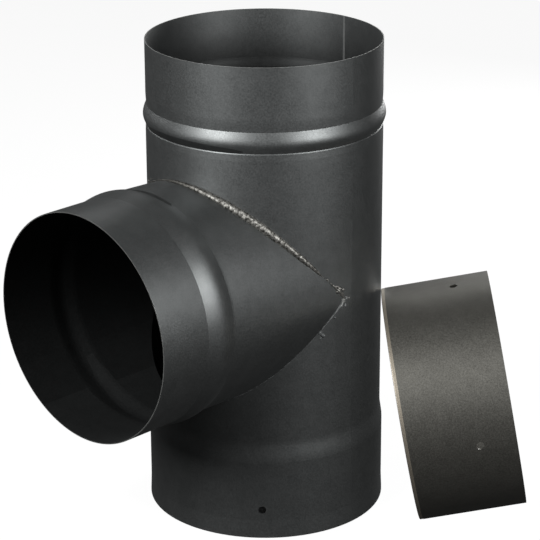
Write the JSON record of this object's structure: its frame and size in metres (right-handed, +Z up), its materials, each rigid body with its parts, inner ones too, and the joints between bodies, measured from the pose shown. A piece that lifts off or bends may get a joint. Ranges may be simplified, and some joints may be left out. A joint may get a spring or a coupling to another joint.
{
  "type": "stove pipe tee",
  "caption": "Black steel stove pipe tee: an upright run with a socket below and a beaded spigot above, a welded side branch, and its clean-out cap leaning beside it.",
  "frame": {"origin": "centre of the run pipe at its lower rim, on the surface it stands on", "axes": "+Z up along the run pipe, from the socket to the spigot; -Y along the branch, from the run to the branch mouth"},
  "size_m": [0.2645, 0.2972, 0.3088],
  "materials": {
    "tee_paint": "matt heat-resistant paint with a fine metallic speckle",
    "cap_paint": "matt heat-resistant paint, slightly warmer",
    "bare_weld": "rough weld bead, partly bare and partly painted over"
  },
  "bodies": {
    "root": {"run_pipe": "tee_paint", "run_seam_weld": "tee_paint", "branch_pipe": "tee_paint", "branch_seam_weld": "tee_paint", "junction_weld": "bare_weld", "cap_shell": "cap_paint", "cap_seam_weld": "cap_paint", "cap_end": "cap_paint"}
  },
  "joints": []
}
